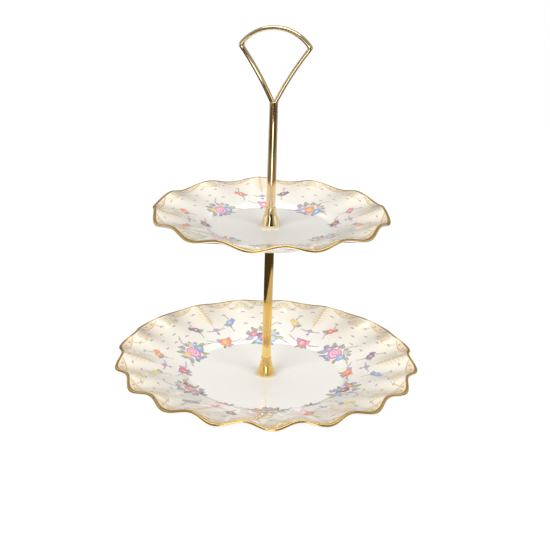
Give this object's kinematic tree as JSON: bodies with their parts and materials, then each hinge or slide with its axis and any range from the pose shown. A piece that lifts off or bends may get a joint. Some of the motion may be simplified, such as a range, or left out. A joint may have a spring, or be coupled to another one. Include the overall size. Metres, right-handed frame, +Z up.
{
  "type": "tiered cake stand",
  "caption": "Tiered cake stand: scalloped china plates on a gold centre rod, with a fan-shaped carrying loop; it unscrews for washing and storage.",
  "frame": {"origin": "centre of the foot ring at table level, on the rod's axis", "axes": "+Z up along the rod, +X along the width of the handle's loop"},
  "size_m": [0.2692, 0.2682, 0.318],
  "materials": {
    "china": "clear gloss glaze with painted sprays and a gilded edge",
    "rich_gold": "polished gold plate",
    "pale_gold": "polished pale gold plate",
    "steel": "bright zinc plate",
    "soft_washer": "matt, pale soft plastic"
  },
  "bodies": {
    "lower_tier": {"lower_plate": "china"},
    "column": {"lower_seat_washer": "soft_washer", "lower_ferrule": "rich_gold", "lower_threaded_bush": "steel", "spacer_tube": "rich_gold", "upper_threaded_bush": "steel", "spacer_stud": "steel", "upper_support_disc": "rich_gold"},
    "base_washers": {"base_soft_washer": "soft_washer", "base_metal_washer": "steel"},
    "base_fixing": {"base_screw": "steel"},
    "upper_cushion": {"upper_under_washer": "soft_washer"},
    "upper_tier": {"upper_plate": "china"},
    "handle_cushion": {"upper_seat_washer": "soft_washer"},
    "handle": {"handle_ferrule": "pale_gold", "handle_threaded_bush": "steel", "handle_stem": "pale_gold", "handle_loop": "pale_gold"}
  },
  "joints": [
    {"name": "column_turn", "type": "hinge", "parent": "lower_tier", "child": "column", "pos_m": [0, 0, 0.0085], "axis": [0, 0, 1], "continuous": true},
    {"name": "base_screw_drop", "type": "slide", "parent": "column", "child": "base_washers", "axis": [0, 0, 1], "range_m": [-0.0077, 0]},
    {"name": "base_screw_turn", "type": "hinge", "parent": "base_washers", "child": "base_fixing", "pos_m": [0, 0, 0.0028], "axis": [0, 0, 1], "range_deg": [-3465, 0]},
    {"name": "upper_tier_lift", "type": "slide", "parent": "column", "child": "upper_cushion", "axis": [0, 0, 1], "range_m": [0, 0.016]},
    {"name": "upper_plate_turn", "type": "hinge", "parent": "upper_cushion", "child": "upper_tier", "pos_m": [0, 0, 0.1456], "axis": [0, 0, 1], "continuous": true},
    {"name": "handle_rise", "type": "slide", "parent": "upper_cushion", "child": "handle_cushion", "axis": [0, 0, 1], "range_m": [0, 0.0082]},
    {"name": "handle_turn", "type": "hinge", "parent": "handle_cushion", "child": "handle", "pos_m": [0, 0, 0.1498], "axis": [0, 0, 1], "range_deg": [0, 3690]}
  ],
  "couplings": [
    {"joint": "base_screw_turn", "follows": "base_screw_drop", "rad_per_m": 7854},
    {"joint": "handle_turn", "follows": "handle_rise", "rad_per_m": 7854}
  ]
}
